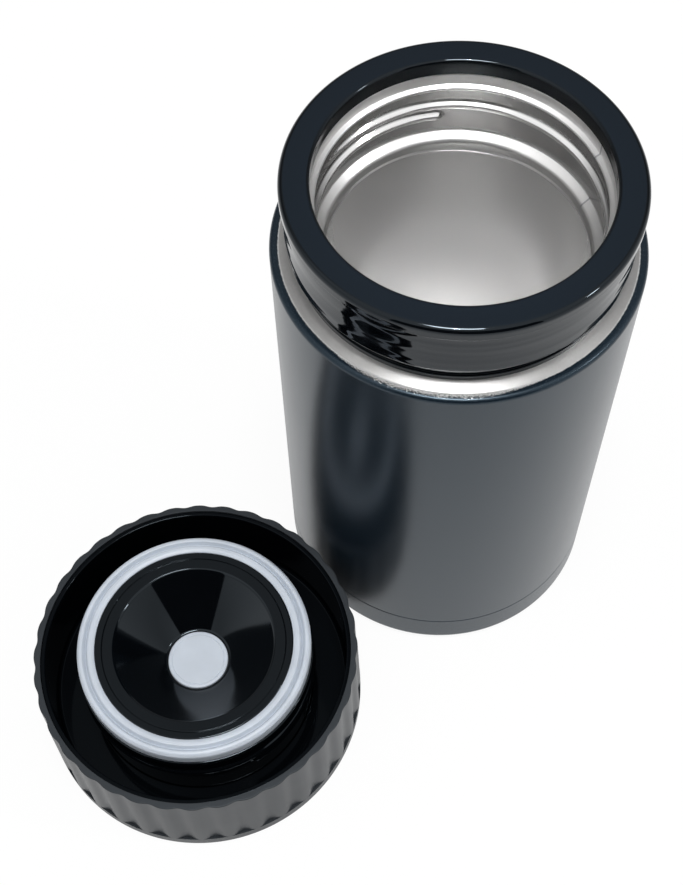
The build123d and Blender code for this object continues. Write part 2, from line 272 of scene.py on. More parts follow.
def adjust(thing, settings):
    """Sets each named setting of a node or a lamp."""
    for key, value in settings.items():
        setattr(thing, key, value)


def skin(name, grid, closed_section):
    """Mesh from a grid of points [turn, section, xyz] in metres that wraps round its first axis.

    Neighbouring grid points make quads. Points that fall together at a pole are merged, and the
    faces are turned outwards by the sign of the enclosed volume.
    """
    turns, count = grid.shape[:2]
    index = np.arange(turns * count).reshape(turns, count)
    if closed_section:
        index = np.concatenate([index, index[:, :1]], axis=1)
    index = np.concatenate([index, index[:1]], axis=0)
    corners = index[:-1, :-1], index[1:, :-1], index[1:, 1:], index[:-1, 1:]
    quads = np.stack(corners, axis=-1).reshape(-1, 4)
    points = grid.reshape(-1, 3)
    corner = points[quads]
    centre = points.mean(axis=0)
    cross = np.cross(corner[:, 2] - corner[:, 0], corner[:, 3] - corner[:, 1])
    if np.einsum("ij,ij->", corner.mean(axis=1) - centre, cross) < 0:
        quads = quads[:, ::-1]
    mesh = bpy.data.meshes.new(name)
    mesh.vertices.add(len(points))
    mesh.vertices.foreach_set("co", points.astype(np.float32).ravel())
    mesh.loops.add(quads.size)
    mesh.loops.foreach_set("vertex_index", quads.astype(np.int32).ravel())
    mesh.polygons.add(len(quads))
    mesh.polygons.foreach_set("loop_start", np.arange(0, quads.size, 4, dtype=np.int32))
    mesh.update(calc_edges=True)
    mesh.validate()
    weld(mesh)
    mesh.shade_smooth()
    mesh.set_sharp_from_angle(angle=SHARP)
    return added(name, mesh)


def weld(mesh):
    """Merges the points that share a place, as at the poles."""
    work = bmesh.new()
    work.from_mesh(mesh)
    bmesh.ops.remove_doubles(work, verts=work.verts, dist=MERGE)
    work.to_mesh(mesh)
    work.free()


def turned(name, section, axis, closed=True, turns=256, shape=None):
    """Section carried round an axis: x = r cos a, y = r sin a.

    shape(angle, radius, height) may change radius and height over the whole grid at once.
    """
    angle = np.linspace(0, TURN, turns, endpoint=False)[:, None]
    radius = np.broadcast_to(section[:, 0], (turns, len(section)))
    height = np.broadcast_to(section[:, 1], (turns, len(section)))
    if shape:
        radius, height = shape(angle, radius, height)
    x = axis[0] + radius * np.cos(angle)
    y = axis[1] + radius * np.sin(angle)
    return skin(name, np.stack([x, y, height], axis=-1) * MM, closed)


def ridge(angle, height, bearing, low, turns, half_width, flat, fade):
    """Height share, 0 to 1, of a right-hand helical ridge with a rounded start and a run-out.

    A point's distance from the ridge is measured in the unrolled wall: across it, the height less
    that of the helix, and along it, how far it lies past either end. The ridge is a squared cosine
    of that distance over its half width, of which the share called flat stays level. Over the
    last part of the turns, fade, it sinks back into the wall.
    """
    share = np.mod(angle - radians(bearing), TURN) / TURN
    best = np.zeros(np.broadcast(angle, height).shape)
    for lap in range(-1, int(turns) + 2):
        along = share + lap
        past = np.maximum(np.maximum(-along, along - turns), 0) * TURN * NECK_BORE
        across = height - (low + THREAD_LEAD * np.clip(along, 0, turns))
        distance = np.hypot(past, across) / half_width
        inside = np.clip((distance - flat) / (1 - flat), 0, 1)
        sunk = np.clip((turns - along) / fade, 0, 1) ** 0.5
        best = np.maximum(best, np.cos(inside * pi / 2) ** 2 * sunk)
    return best


def helix(reach, wire, low, high, pitch, around=12, per_lap=40):
    """Round wire along a helix: p(t) = (r cos t, r sin t, low + pitch t / 2 pi).

    The wire's ring at t lies across the helix: it is p + w (cos u n + sin u b), with n the outward
    direction and b the one square to both n and the helix. Each end closes in a point.
    """
    laps = (high - low) / pitch
    turn = np.linspace(0, TURN * laps, int(per_lap * laps))
    zero, climb = 0 * turn, pitch / TURN
    out = np.stack([np.cos(turn), np.sin(turn), zero], axis=-1)
    path = reach * out + np.stack([zero, zero, low + climb * turn], axis=-1)
    along = np.stack([-reach * np.sin(turn), reach * np.cos(turn), zero + climb], axis=-1)
    across = np.cross(out, along / np.linalg.norm(along, axis=1)[:, None])
    u = np.linspace(0, TURN, around, endpoint=False)[:, None, None]
    rings = path + wire * (np.cos(u) * out + np.sin(u) * across)
    first, last = (np.broadcast_to(path[k], (around, 1, 3)) for k in (0, -1))
    return np.concatenate([first, rings, last], axis=1)


# ---- materials ----
class Nodes:
    """A node tree under construction, with short calls for what the trees share."""

    def __init__(self, tree):
        self.tree = tree

    def node(self, kind, **settings):
        node = self.tree.nodes.new(kind)
        adjust(node, settings)
        return node

    def put(self, slot, value):
        """Links an output to a slot, or sets a number or a colour on it."""
        if isinstance(value, bpy.types.NodeSocket):
            self.tree.links.new(value, slot)
        else:
            slot.default_value = value if isinstance(value, (int, float)) else (*value, 1)

    def math(self, operation, *values):
        """Math node on numbers or outputs."""
        node = self.node("ShaderNodeMath", operation=operation)
        for slot, value in zip(node.inputs, values):
            self.put(slot, value)
        return node.outputs[0]

    def times(self, first, second):
        return self.math("MULTIPLY", first, second)

    def away(self, value, centre):
        """Distance of a value from a centre, either way."""
        return self.math("ABSOLUTE", self.math("SUBTRACT", value, centre))

    def spread(self, value, low, high, start=0.0, end=1.0, **settings):
        """Map Range of an output from start..end to low..high, held beyond either end."""
        node = self.node("ShaderNodeMapRange", **settings)
        names = "Value", "From Min", "From Max", "To Min", "To Max"
        for name, number in zip(names, (value, start, end, low, high)):
            self.put(node.inputs[name], number)
        return node.outputs["Result"]

    def rising(self, value, start, end):
        """0 below the start and 1 above the end."""
        return self.spread(value, 0.0, 1.0, start, end)

    def falling(self, value, start, end):
        """1 below the start and 0 above the end."""
        return self.spread(value, 1.0, 0.0, start, end)


class Finish(Nodes):
    """A node material under construction."""

    def __init__(self, name, colour, roughness, metallic=0.0):
        self.material = bpy.data.materials.new(name)
        self.material.use_nodes = True
        super().__init__(self.material.node_tree)
        self.shader = self.tree.nodes["Principled BSDF"]
        self.set("Base Color", (*colour, 1))
        self.set("Roughness", roughness)
        self.set("Metallic", metallic)
        self.place = self.node("ShaderNodeTexCoord").outputs["Object"]

    def set(self, socket, value):
        self.shader.inputs[socket].default_value = value

    def feed(self, output, socket):
        self.put(self.shader.inputs[socket], output)

    def reflect(self, level, tint=(0.76, 0.89, 1.0)):
        """Strength and tint of what a painted or moulded surface reflects straight on."""
        self.set("Specular IOR Level", level)
        self.set("Specular Tint", (*tint, 1))

    def turning(self, amount):
        """Stretches highlights across marks that run round the piece's upright axis."""
        self.set("Anisotropic", amount)
        self.set("Anisotropic Rotation", 0.25)
        round_axis = self.node("ShaderNodeTangent", direction_type="RADIAL", axis="Z")
        self.feed(round_axis.outputs["Tangent"], "Tangent")

    def scaled(self, scale):
        """Object coordinates times three scales."""
        node = self.node("ShaderNodeMapping", vector_type="POINT")
        node.inputs["Scale"].default_value = scale
        self.put(node.inputs["Vector"], self.place)
        return node.outputs["Vector"]

    def millimetres(self):
        """X, y and z about the jar's axis, in millimetres."""
        parts = self.node("ShaderNodeSeparateXYZ")
        self.put(parts.inputs[0], self.scaled((1 / MM,) * 3))
        return parts.outputs

    def radial(self):
        """Distance from the jar's axis and height, in millimetres, and the bearing in radians."""
        x, y, z = self.millimetres()
        squares = self.math("ADD", self.times(x, x), self.times(y, y))
        return self.math("SQRT", squares), z, self.math("ARCTAN2", y, x)

    def noise(self, scale, detail, vector=None):
        node = self.node("ShaderNodeTexNoise")
        node.inputs["Scale"].default_value = scale
        node.inputs["Detail"].default_value = detail
        self.put(node.inputs["Vector"], vector or self.place)
        return node.outputs["Fac"]

    def noisy(self, scale, detail, low, high):
        """Noise spread over low..high."""
        return self.spread(self.noise(scale, detail), low, high)

    def rings(self, radius, height, scale):
        """Noise that changes only with radius and height, for marks that run round the axis."""
        node = self.node("ShaderNodeCombineXYZ")
        for slot, value in zip(node.inputs, (radius, height)):
            self.put(slot, self.times(value, scale))
        return self.noise(1.0, 3.0, vector=node.outputs[0])

    def between(self, kind, slots, share, ends):
        """Mix node of a kind, with its two ends, which are numbers, colours or outputs."""
        node = self.node("ShaderNodeMix", data_type=kind)
        self.put(node.inputs["Factor"], share)
        for slot, value in zip(slots, ends):
            self.put(node.inputs[slot], value)
        return node.outputs

    def mix(self, share, first, second):
        """Colour mix."""
        return self.between("RGBA", (6, 7), share, (first, second))[2]

    def blend(self, share, first, second):
        """Number mix."""
        return self.between("FLOAT", (2, 3), share, (first, second))[0]

    def mottle(self, scale, detail, colour, dark, light):
        """Noise between a darker and a lighter shade of a colour."""
        return self.mix(self.noise(scale, detail), shade(colour, dark), shade(colour, light))

    def bump(self, height, strength, distance, after=None):
        """Bump over the one before it, if there is one, by a distance in metres."""
        node = self.node("ShaderNodeBump")
        node.inputs["Strength"].default_value = strength
        node.inputs["Distance"].default_value = distance
        self.put(node.inputs["Height"], height)
        if after:
            self.put(node.inputs["Normal"], after)
        self.feed(node.outputs["Normal"], "Normal")
        return node.outputs["Normal"]


def shade(colour, share):
    """A colour times a share."""
    return [part * share for part in colour]


def grained(name, colour, roughness, metallic, grain, detail, strength, depth):
    """Plain surface with a fine grain."""
    finish = Finish(name, colour, roughness, metallic)
    finish.bump(finish.noise(grain, detail), strength, depth)
    return finish.material


def moulded(name, colour, roughness, spread=0.06, grain=900.0, depth=0.00002, strength=0.15):
    """Moulded plastic: a slight mottle in tone and gloss, over a fine or soft surface grain."""
    finish = Finish(name, colour, roughness)
    light = [min(part * 1.18 + 0.002, 1) for part in colour]
    finish.feed(finish.mix(finish.noise(120.0, 3.0), shade(colour, 0.9), light), "Base Color")
    finish.feed(finish.noisy(45.0, 4.0, roughness - spread, roughness + spread), "Roughness")
    finish.bump(finish.noise(grain, 3.0), strength, depth)
    return finish


def powder_coat(settings):
    """Satin powder coat over a steel shell whose land is left bare.

    The coat ends where the land begins, at an edge that wanders a little. In front only, bright
    bare specks reach out over the shoulder's rounding as a painted highlight. It has a fine orange
    peel and a sparkle of small grains.
    """
    wander, blur, highlight_reach = 0.16, 0.12, 1.25  # in millimetres along the radius
    front, near, far = (radians(angle) for angle in (-103, 16, 36))  # the span in front where the painted highlight specks lie, and its reach
    coat = settings.coat_colour
    finish = Finish("powder_coat", coat, 0.26)
    finish.reflect(0.48, (0.64, 0.84, 1.0))
    radius, height, angle = finish.radial()
    wandering = finish.noisy(1500.0, 4.0, -wander, wander)
    # painted highlight: in front only, bare bright specks push the coat's edge out over the
    # rounding
    thin = finish.spread(finish.away(angle, front), highlight_reach, 0.0, near, far)
    highlight_speck = finish.rising(finish.noise(3800.0, 2.0), 0.3, 0.7)
    shift = finish.math("SUBTRACT", wandering, finish.times(thin, highlight_speck))
    edge = finish.math("ADD", radius, shift)
    inside = finish.falling(edge, COAT_RADIUS - blur, COAT_RADIUS + blur)
    on_top = finish.rising(height, BODY_HEIGHT - 3, BODY_HEIGHT - 2.9)
    bare = finish.times(inside, on_top)
    fleck = finish.spread(finish.noise(4500.0, 1.0), 0.0, 0.35, 0.62, 0.8)
    painted = finish.mix(fleck, finish.mottle(160.0, 4.0, coat, 0.85, 1.15), (0.10, 0.11, 0.13))
    finish.feed(finish.mix(bare, painted, (0.92, 0.92, 0.91)), "Base Color")
    finish.feed(bare, "Metallic")
    finish.feed(finish.blend(bare, finish.noisy(60.0, 4.0, 0.245, 0.27), 0.4), "Roughness")
    peel = finish.bump(finish.noise(1300.0, 3.0), 0.10, 0.00004)
    finish.bump(finish.noise(4500.0, 2.0), 0.16, 0.00003, peel)
    return finish.material


def turned_steel(settings):
    """Bare steel land, finely turned, so its marks run round the axis."""
    finish = Finish("turned_steel", settings.steel_colour, 0.42, 1.0)
    finish.turning(0.75)
    radius, height = finish.radial()[:2]
    tone = finish.mix(finish.noise(1400.0, 3.0), (0.73, 0.72, 0.71), (0.82, 0.815, 0.805))
    finish.feed(tone, "Base Color")
    finish.feed(finish.noisy(300.0, 4.0, 0.36, 0.50), "Roughness")
    scuffs = finish.bump(finish.noise(900.0, 4.0), 0.12, 0.00003)
    finish.bump(finish.rings(radius, height, 8.0), 0.25, 0.00004, scuffs)
    return finish.material


def neck_steel(settings):
    """Stainless steel, turned: polished on the threaded wall, satin on the bead and the ledge.

    Painted shade: the threaded wall and the lip under the ledge are given a darker colour. A weld
    crosses the bead and the ledge as one fine upright line, whose distance is measured round the
    axis.
    """
    colour = settings.steel_colour
    finish = Finish("neck_steel", colour, 0.2, 1.0)
    finish.turning(0.4)
    radius, height, angle = finish.radial()
    polish = finish.times(finish.falling(height, NECK_TOP - 0.2, NECK_TOP + 0.2),
                          finish.rising(height, NECK_FOOT - 0.2, NECK_FOOT + 0.3))
    off_line = finish.times(finish.away(angle, radians(WELD_BEARING)), radius)
    weld = finish.times(finish.falling(off_line, 0.12, 0.3), finish.math("SUBTRACT", 1.0, polish))
    # painted shade: the polished wall and the lip under the ledge get a darker colour
    on_wall = finish.rising(radius, NECK_BORE - 0.4, NECK_BORE - 0.1)
    lip = finish.falling(height, COLLAR_TOP - 24.7, COLLAR_TOP - 24.1)
    dark = finish.math("MAXIMUM", finish.times(polish, on_wall), lip)
    steel = finish.mix(dark, finish.mottle(30.0, 4.0, colour, 0.95, 1.0), shade(colour, 0.58))
    finish.feed(finish.mix(weld, steel, (0.5, 0.5, 0.52)), "Base Color")
    polished = finish.noisy(220.0, 3.0, 0.10, 0.16)
    satin = finish.noisy(400.0, 3.0, 0.32, 0.42)
    finish.feed(finish.blend(polish, satin, polished), "Roughness")
    brushed = finish.bump(finish.rings(radius, height, 3.0), 0.15, 0.00003)
    finish.bump(finish.math("SUBTRACT", 1.0, weld), 0.25, 0.00004, brushed)
    return finish.material


def satin_steel(settings):
    """Blasted satin steel inside the vessel, part gloss and part matt, with painted shade that
    makes it darker higher up.
    """
    colour = settings.steel_colour
    finish = Finish("satin_steel", colour, 0.26, 0.7)
    # painted shade: the colour darkens from 30 mm to 80 mm up the cavity
    upper = finish.rising(finish.millimetres()[2], 30.0, 80.0)
    steel = finish.mix(upper, finish.mottle(30.0, 4.0, colour, 0.96, 1.0), shade(colour, 0.72))
    finish.feed(steel, "Base Color")
    finish.feed(finish.noisy(50.0, 4.0, 0.255, 0.27), "Roughness")
    finish.bump(finish.noise(3000.0, 2.0), 0.15, 0.00002)
    return finish.material


def silicone(name, colour):
    """Pale silicone: soft, slightly translucent, under a thin satin coat."""
    finish = moulded(name, colour, 0.42, 0.04, 1500.0, 0.00002, 0.1)
    finish.set("Subsurface Weight", 0.12)
    finish.set("Subsurface Radius", (0.6, 0.7, 0.9))
    finish.set("Subsurface Scale", 0.0006)
    finish.set("Coat Weight", 0.25)
    finish.set("Coat Roughness", 0.3)
    return finish.material


def collar_black(settings):
    """Glossy black collar with level mould ripples in its wall and a fine satin top face."""
    black = settings.black_colour
    finish = Finish("collar_black", black, 0.06)
    finish.reflect(0.38)
    satin = finish.rising(finish.millimetres()[2], COLLAR_TOP - 0.03, COLLAR_TOP - 0.01)
    finish.feed(finish.blend(satin, finish.noisy(60.0, 3.0, 0.03, 0.07), 0.26), "Roughness")
    tone = finish.mottle(90.0, 3.0, black, 1.0, 1.5)
    finish.feed(finish.mix(satin, tone, (0.0022, 0.0048, 0.0088)), "Base Color")
    ripple = finish.noise(1.0, 1.0, vector=finish.scaled((12.0, 12.0, 260.0)))
    waves = finish.bump(ripple, 1.0, 0.00022)
    finish.bump(finish.times(satin, finish.noise(2600.0, 2.0)), 0.12, 0.00002, waves)
    return finish.material


def gloss_black(settings, name, level):
    """Glossy black moulding with faint waves in its surface."""
    black = settings.black_colour
    finish = Finish(name, black, 0.07)
    finish.reflect(level)
    finish.feed(finish.mottle(90.0, 3.0, black, 1.0, 1.4), "Base Color")
    finish.feed(finish.noisy(45.0, 4.0, 0.04, 0.10), "Roughness")
    finish.bump(finish.noise(60.0, 2.0), 0.10, 0.0001)
    return finish.material


def wear(piece, material):
    """Gives a piece its material."""
    piece.data.materials.clear()
    piece.data.materials.append(material)


def dress(material, *nodes):
    """Gives carried-over nodes their material."""
    for node in nodes:
        wear(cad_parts[node], material)


def seat(piece, material, body, node):
    """Gives a piece its finish, and lets it ride on a body and stand for a node."""
    wear(piece, material)
    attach(piece, body)
    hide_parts(node)


def part(piece, material, where):
    """Gives a second material to the faces whose centres pass where(radius, height)."""
    piece.data.materials.append(material)
    faces = piece.data.polygons
    centre = np.empty(len(faces) * 3)
    faces.foreach_get("center", centre)
    x, y, height = centre.reshape(-1, 3).T / MM
    faces.foreach_set("material_index", where(np.hypot(x, y), height).astype(np.int32))


# ---- settings ----
class FoodJarSettings(bpy.types.PropertyGroup):
    """Sizes and colours of the jar that a user would change."""

    body_radius: bpy.props.FloatProperty(
        name="Body Radius", description="Outside radius of the painted shell", unit="LENGTH",
        default=reach_of("outer_shell") * MM)
    cap_radius: bpy.props.FloatProperty(
        name="Lid Radius", description="Outside radius of the lid over its flutes", unit="LENGTH",
        default=reach_of("lid_cap") * MM)
    coat_colour: bpy.props.FloatVectorProperty(
        name="Coat Colour", description="Powder coat of the shell and base", subtype="COLOR",
        default=(0.005, 0.010, 0.016), min=0, max=1)
    steel_colour: bpy.props.FloatVectorProperty(
        name="Steel Colour", description="Bare steel of the neck and vessel", subtype="COLOR",
        default=(0.91, 0.905, 0.90), min=0, max=1)
    black_colour: bpy.props.FloatVectorProperty(
        name="Black Colour", description="Glossy black mouldings", subtype="COLOR",
        default=(0.0010, 0.0014, 0.0020), min=0, max=1)
    cap_colour: bpy.props.FloatVectorProperty(
        name="Lid Colour", description="Satin moulding of the lid's cap", subtype="COLOR",
        default=(0.025, 0.0285, 0.0325), min=0, max=1)
    silicone_colour: bpy.props.FloatVectorProperty(
        name="Silicone Colour", description="Gasket and valve disc", subtype="COLOR",
        default=(0.465, 0.51, 0.57), min=0, max=1)


class FoodJarStage(bpy.types.PropertyGroup):
    """Camera and light of the studio."""

    focal: bpy.props.FloatProperty(
        name="Focal Length", description="Focal length in millimetres", default=60.81)
    pitch: bpy.props.FloatProperty(
        name="Pitch", description="How far the camera looks down from level", subtype="ANGLE",
        default=radians(60.573))
    roll: bpy.props.FloatProperty(
        name="Roll", description="Turn of the camera about its view", subtype="ANGLE",
        default=radians(-1.826))
    place: bpy.props.FloatVectorProperty(
        name="Camera Place", description="Where the camera stands", subtype="TRANSLATION",
        unit="LENGTH", default=(-0.0276, -0.2033, 0.4007))
    horizon: bpy.props.FloatProperty(
        name="Horizon", description="Strength of the walls at the height of the table",
        default=1.0, min=0)
    ceiling: bpy.props.FloatProperty(
        name="Ceiling", description="Strength of the ceiling above the lamps", default=0.42, min=0)
    glow: bpy.props.FloatProperty(
        name="Front Glow", description="Strength of the upper walls in front and at the sides",
        default=0.95, min=0)
    top: bpy.props.FloatProperty(
        name="Top Lamp", description="Power of the small lamp overhead", unit="POWER",
        default=10.0, min=0)
    side: bpy.props.FloatProperty(
        name="Side Lamp", description="Power of the small lamp at the right", unit="POWER",
        default=1.0, min=0)
    mouth: bpy.props.FloatProperty(
        name="Mouth Lamp", description="Power of the narrow lamp into the jar", unit="POWER",
        default=140.0, min=0)


# ---- operators ----
class FOODJAR_OT_shell(bpy.types.Operator):
    """Painted steel shell, base cup and base cover"""

    bl_idname = "foodjar.shell"
    bl_label = "Shell and Base"

    def execute(self, context):
        settings = context.scene.food_jar
        coat = powder_coat(settings)
        r = settings.body_radius / MM
        inside, bore = r - SHELL_WALL, NECK_RADIUS - SHELL_WALL
        under, neck_end = BODY_HEIGHT - SHELL_WALL, RIM_HEIGHT - VESSEL_WALL
        section = bent([
            (inside, BASE_HEIGHT), (r - SEAM_DEPTH, BASE_HEIGHT, 0.0),
            (r, BASE_HEIGHT + SEAM_RISE, 0.1), (r, BODY_HEIGHT, SHOULDER_ROUND),
            (LAND_RADIUS, BODY_HEIGHT), (NECK_RADIUS, BODY_HEIGHT + LAND_RISE, 1.0),
            (NECK_RADIUS, neck_end), (bore, neck_end), (bore, under, 1.0),
            (inside, under, SHOULDER_ROUND - SHELL_WALL), (inside, BASE_HEIGHT + SPLIT),
        ])
        shell = turned("shell", section, JAR_AXIS, turns=360)
        seat(shell, coat, "jar", "outer_shell")
        part(shell, turned_steel(settings),
             lambda radius, height: (radius < LAND_RADIUS) & (height > BODY_HEIGHT - 0.1))
        foot, panel = r - FOOT_WIDTH, RECESS + SHELL_WALL
        pressed, cover = RECESS + DIMPLE_RISE, RECESS + DIMPLE_RISE + SHELL_WALL
        section = bent([
            (inside, BASE_HEIGHT - SPLIT), (inside, SHELL_WALL, FOOT_ROUND - SHELL_WALL),
            (foot + 0.8, SHELL_WALL, 0.3), (foot - 0.2, panel, 0.3),
            (DIMPLE_RADIUS + 1.6, panel, 0.3), (DIMPLE_RADIUS + 0.3, cover, 0.3),
            (PUMP_HOLE, cover), (PUMP_HOLE, pressed), (DIMPLE_RADIUS, pressed, 0.3),
            (DIMPLE_RADIUS + 1.2, RECESS, 0.3), (foot - 1.0, RECESS, 0.3), (foot, 0, 0.3),
            (r, 0, FOOT_ROUND), (r, BASE_HEIGHT - SEAM_RISE, 0.1), (r - SEAM_DEPTH, BASE_HEIGHT),
        ])
        base = turned("base_cup", section, JAR_AXIS, turns=360)
        seat(base, coat, "jar", "outer_base")
        steel = grained("pressed_steel", (0.55, 0.55, 0.56), 0.35, 1.0, 2200.0, 3.0, 0.2, 0.00002)
        dress(steel, "base_cover", "getter_clip")
        return {"FINISHED"}


class FOODJAR_OT_vessel(bpy.types.Operator):
    """Inner vessel with its rolled thread, bead and sealing ledge"""

    bl_idname = "foodjar.vessel"
    bl_label = "Vessel and Neck"

    def execute(self, context):
        settings = context.scene.food_jar
        inside = bent([
            (0, CAVITY_FLOOR), (CAVITY_RADIUS, CAVITY_FLOOR, FLOOR_ROUND),
            (CAVITY_RADIUS, CAVITY_TOP, 5.0), (LIP_RADIUS, LIP_EDGE, 0.25),
            (LIP_RADIUS + 0.4, LIP_HEIGHT - 0.1, 0.2), (NECK_BORE - 2.15, NECK_FOOT - 2.1, 1.4),
            (NECK_BORE, NECK_FOOT - 0.3, 0.5), (NECK_BORE, BEAD_HEIGHT - 1.0, 0.25),
            (NECK_BORE - BEAD_DEPTH, BEAD_HEIGHT + 0.05, 0.5),
            (MOUTH_BORE, BEAD_HEIGHT + 0.8, 0.3), (MOUTH_BORE, RIM_HEIGHT, 0.5),
            (NECK_RADIUS, RIM_HEIGHT),
        ], steps=8)
        inside = refined(inside, LIP_HEIGHT + 5.0, NECK_TOP, 0.14)
        wall = VESSEL_WALL
        outside = bent([
            (NECK_RADIUS, RIM_HEIGHT - wall), (MOUTH_BORE + wall, RIM_HEIGHT - wall, 0.9),
            (MOUTH_BORE + wall, BEAD_HEIGHT + 1.3, 0.6), (NECK_BORE + wall - 0.7, BEAD_HEIGHT, 0.3),
            (NECK_BORE + wall, BEAD_HEIGHT - 1.3, 0.6), (NECK_BORE + wall, NECK_FOOT, 1.0),
            (NECK_BORE + wall - 2.0, NECK_FOOT - 2.1 - wall / 2, 1.0),
            (LIP_RADIUS + wall, LIP_EDGE, 0.5), (CAVITY_RADIUS + wall, CAVITY_TOP + wall / 2, 5.5),
            (CAVITY_RADIUS + wall, CAVITY_FLOOR - wall, 9.7), (0, CAVITY_FLOOR - wall),
        ], steps=5)
        rolled = np.arange(len(inside) + len(outside)) < len(inside)

        def thread(angle, radius, height):
            """The rolled thread stands in from the bore by its rise times the ridge's share."""
            rise = NECK_THREAD_RISE * ridge(angle, height, **NECK_THREAD)
            return radius - np.where(rolled, rise, 0.0), height

        section = np.concatenate([inside, outside])
        vessel = turned("vessel", section, JAR_AXIS, closed=False, turns=400, shape=thread)
        seat(vessel, neck_steel(settings), "jar", "inner_vessel")
        part(vessel, satin_steel(settings), lambda radius, height: height < LIP_EDGE)
        return {"FINISHED"}


class FOODJAR_OT_collar(bpy.types.Operator):
    """Glossy mouth collar with its lip, groove and foot"""

    bl_idname = "foodjar.collar"
    bl_label = "Mouth Collar"

    def execute(self, context):
        settings = context.scene.food_jar
        outer = settings.body_radius / MM - COLLAR_INSET
        side, land, rim, inner = outer - 0.6, BODY_HEIGHT + GAP, RIM_HEIGHT + GAP, NECK_RADIUS + GAP
        lip, back, hem = COLLAR_TOP - 3.4, side - COLLAR_WALL, land + 6.05
        sleeve, foot, foot_top = inner + SLEEVE_WALL, inner + 1.85, land + 1.55
        seal, seal_top = COLLAR_OPENING + 0.7, RIM_HEIGHT + 0.8
        section = bent([
            (COLLAR_OPENING, RIM_HEIGHT + 0.4 + SPLIT), (COLLAR_OPENING, COLLAR_TOP, 0.8),
            (outer, COLLAR_TOP, 1.3), (outer, COLLAR_TOP - 3.2, 0.3),
            (side, COLLAR_TOP - 3.5, 0.2), (side, hem, 0.4), (back, hem, 0.3), (back, lip, 0.4),
            (sleeve, lip, 0.4), (sleeve, foot_top, 0.15), (foot, foot_top, 0.2), (foot, land),
            (inner, land, 1.05), (inner, seal_top), (seal, seal_top), (seal, rim),
            (COLLAR_OPENING, rim), (COLLAR_OPENING, RIM_HEIGHT + 0.4),
        ], steps=10)
        collar = turned("collar", section, JAR_AXIS, turns=360)
        seat(collar, collar_black(settings), "jar", "mouth_collar")
        return {"FINISHED"}


class FOODJAR_OT_cap(bpy.types.Operator):
    """Fluted cap of the lid"""

    bl_idname = "foodjar.cap"
    bl_label = "Fluted Cap"

    def execute(self, context):
        settings = context.scene.food_jar
        r = settings.cap_radius / MM
        share = np.array([0.0, 0.04, 0.5, 0.96, 1.0])
        rim_low, rim_high = CAP_BORE + 0.3, r - 0.3
        lower = bent([
            (BUTTON_BORE, FINGER_DEPTH), (FINGER_RADIUS - FINGER_DEPTH, FINGER_DEPTH, 0.3),
            (FINGER_RADIUS, 0, 0.3), (r, 0, 0.6), (r, BAND_HEIGHT)])
        ledge = np.tile((r, BAND_HEIGHT), (len(share), 1))
        upper = bent([
            (r, BAND_HEIGHT), (r, BAND_HEIGHT + 0.6), (r, BAND_HEIGHT + 6), (r, CAP_HEIGHT - 6),
            (r, CAP_HEIGHT, 0.25), (rim_low, CAP_HEIGHT)], steps=6)[1:]
        inner = bent([
            (CAP_BORE + 0.2, CAP_HEIGHT), (CAP_BORE, CAP_HEIGHT, 0.15), (CAP_BORE, CAP_PLATE, 0.5),
            (BUTTON_BORE, CAP_PLATE), (BUTTON_BORE, FINGER_DEPTH + SPLIT)])
        runs = lower, ledge, upper, inner

        def along(*values):
            """One value for each point of the section, from a number or a row for each run."""
            return np.concatenate([np.broadcast_to(v, len(run)) for v, run in zip(values, runs)])

        rise = np.clip((upper[:, 1] - BAND_HEIGHT) / (CAP_HEIGHT - BAND_HEIGHT), 0, 1)
        rim = np.clip((upper[:, 0] - rim_low) / (rim_high - rim_low), 0, 1)
        swing = FLUTE_DEPTH + (FLUTE_RIM_DEPTH - FLUTE_DEPTH) * rise
        depth = along(0.0, share * FLUTE_DEPTH, swing * rim, 0.0)
        draft = along(0.0, 0.0, CAP_DRAFT * rise * rim, 0.0)
        sink = along(0.0, POCKET_DEPTH * share, 0.0, 0.0)

        def flutes(angle, radius, height):
            """The wall dips by its depth times a power of half of one less the cosine, once for
            each flute: deep over the plain ring, shallow at the rim, and drawn in by the draft.
            The ring's upper side sinks a little with it."""
            dip = ((1 - np.cos(FLUTE_COUNT * angle)) / 2) ** FLUTE_POWER
            return radius - dip * depth - draft, height - dip * sink

        turns = FLUTE_COUNT * FLUTE_POINTS
        cap = turned("cap", np.concatenate(runs), LID_AXIS, turns=turns, shape=flutes)
        finish = moulded("cap_satin", settings.cap_colour, 0.36, 0.05, 2400.0, 0.00003, 0.2)
        finish.reflect(0.19, (0.86, 0.94, 1.0))
        seat(cap, finish.material, "lid", "lid_cap")
        return {"FINISHED"}


class FOODJAR_OT_liner(bpy.types.Operator):
    """Glossy liner with the channel that takes the collar"""

    bl_idname = "foodjar.liner"
    bl_label = "Channel Liner"

    def execute(self, context):
        outer, inner, hole = CAP_BORE - GAP, CAP_BORE - LINER_WALL, PLUG_RADIUS + GAP
        low, top = CHANNEL_FLOOR - 1.0, CAP_HEIGHT - 0.6
        section = bent([
            (hole, low), (hole, CHANNEL_FLOOR, 0.2), (inner, CHANNEL_FLOOR, 0.8), (inner, top, 0.4),
            (outer, top, 0.15), (outer, CHANNEL_BACK), (hole, CHANNEL_BACK), (hole, low - SPLIT),
        ], steps=10)
        gloss = gloss_black(context.scene.food_jar, "liner_gloss", 0.12)
        seat(turned("liner", section, LID_AXIS), gloss, "lid", "lid_liner")
        return {"FINISHED"}


